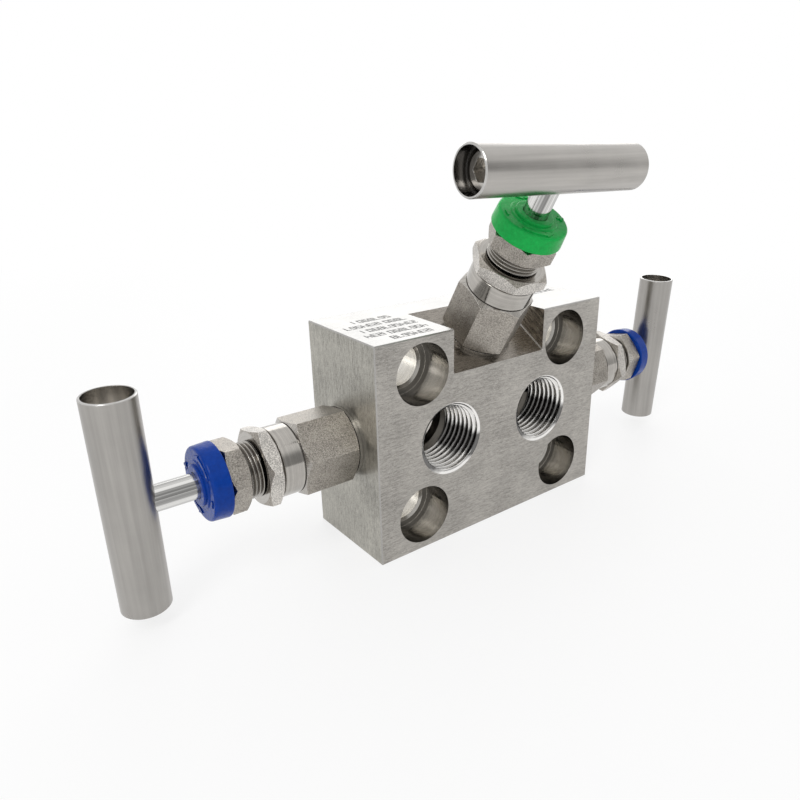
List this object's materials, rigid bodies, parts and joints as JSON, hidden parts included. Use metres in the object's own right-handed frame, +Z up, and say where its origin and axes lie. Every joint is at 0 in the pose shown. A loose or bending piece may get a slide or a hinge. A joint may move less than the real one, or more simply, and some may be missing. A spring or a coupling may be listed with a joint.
{
  "type": "three-valve manifold",
  "caption": "Direct-mount valve manifold block for a differential-pressure transmitter, with side isolating valves and a sloping equalising valve, each with a T-bar handle.",
  "frame": {"origin": "middle of the four flange bolts, on the instrument face", "axes": "+Y out of the instrument face, towards the transmitter; +X to the right seen from the process side; +Z up"},
  "size_m": [0.2036, 0.056, 0.108],
  "materials": {
    "block_steel": "brushed",
    "bonnet_steel": "bead blasted hexagon, turned collar",
    "nut_steel": "bead blasted",
    "washer_steel": "turned",
    "stem_steel": "polished",
    "handle_steel": "satin",
    "screw_steel": "plain",
    "ptfe": "matte",
    "blue_plastic": "semi-gloss",
    "green_plastic": "semi-gloss"
  },
  "bodies": {
    "manifold": {"manifold_block": "block_steel", "left_flange_seal": "ptfe", "right_flange_seal": "ptfe", "left_bonnet_washer": "washer_steel", "left_bonnet": "bonnet_steel", "left_packing_washer": "washer_steel", "left_packing_rings": "ptfe", "left_packing_follower": "washer_steel", "left_gland_screw": "nut_steel", "left_lock_nut": "nut_steel", "left_dust_cap": "blue_plastic", "right_bonnet_washer": "washer_steel", "right_bonnet": "bonnet_steel", "right_packing_washer": "washer_steel", "right_packing_rings": "ptfe", "right_packing_follower": "washer_steel", "right_gland_screw": "nut_steel", "right_lock_nut": "nut_steel", "right_dust_cap": "blue_plastic", "equaliser_bonnet_washer": "washer_steel", "equaliser_bonnet": "bonnet_steel", "equaliser_packing_washer": "washer_steel", "equaliser_packing_rings": "ptfe", "equaliser_packing_follower": "washer_steel", "equaliser_gland_screw": "nut_steel", "equaliser_lock_nut": "nut_steel", "equaliser_dust_cap": "green_plastic"},
    "left_tip": {"left_valve_tip": "stem_steel"},
    "left_spindle": {"left_stem": "stem_steel", "left_t_bar": "handle_steel", "left_set_screw": "screw_steel"},
    "right_tip": {"right_valve_tip": "stem_steel"},
    "right_spindle": {"right_stem": "stem_steel", "right_t_bar": "handle_steel", "right_set_screw": "screw_steel"},
    "equaliser_tip": {"equaliser_valve_tip": "stem_steel"},
    "equaliser_spindle": {"equaliser_stem": "stem_steel", "equaliser_t_bar": "handle_steel", "equaliser_set_screw": "screw_steel"}
  },
  "joints": [
    {"name": "left_tip_travel", "type": "slide", "parent": "manifold", "child": "left_tip", "axis": [-1, 0, 0], "range_m": [-0.0053, 0.0007]},
    {"name": "left_handle_turn", "type": "hinge", "parent": "left_tip", "child": "left_spindle", "pos_m": [-0.072, -0.0155, 0.0008], "axis": [-1, 0, 0], "range_deg": [-1272, 168]},
    {"name": "right_tip_travel", "type": "slide", "parent": "manifold", "child": "right_tip", "axis": [1, 0, 0], "range_m": [-0.0007, 0.0053]},
    {"name": "right_handle_turn", "type": "hinge", "parent": "right_tip", "child": "right_spindle", "pos_m": [0.072, -0.0155, 0.0008], "axis": [1, 0, 0], "range_deg": [-168, 1272]},
    {"name": "equaliser_tip_travel", "type": "slide", "parent": "manifold", "child": "equaliser_tip", "axis": [0, -0.515, 0.8572], "range_m": [-0.0025, 0.0035]},
    {"name": "equaliser_handle_turn", "type": "hinge", "parent": "equaliser_tip", "child": "equaliser_spindle", "pos_m": [0, -0.03716, 0.05065], "axis": [0, -0.515, 0.8572], "range_deg": [-600, 840]}
  ],
  "couplings": [
    {"joint": "left_tip_travel", "follows": "left_handle_turn", "m_per_rad": 0.00023873},
    {"joint": "right_tip_travel", "follows": "right_handle_turn", "m_per_rad": 0.00023873},
    {"joint": "equaliser_tip_travel", "follows": "equaliser_handle_turn", "m_per_rad": 0.00023873}
  ]
}
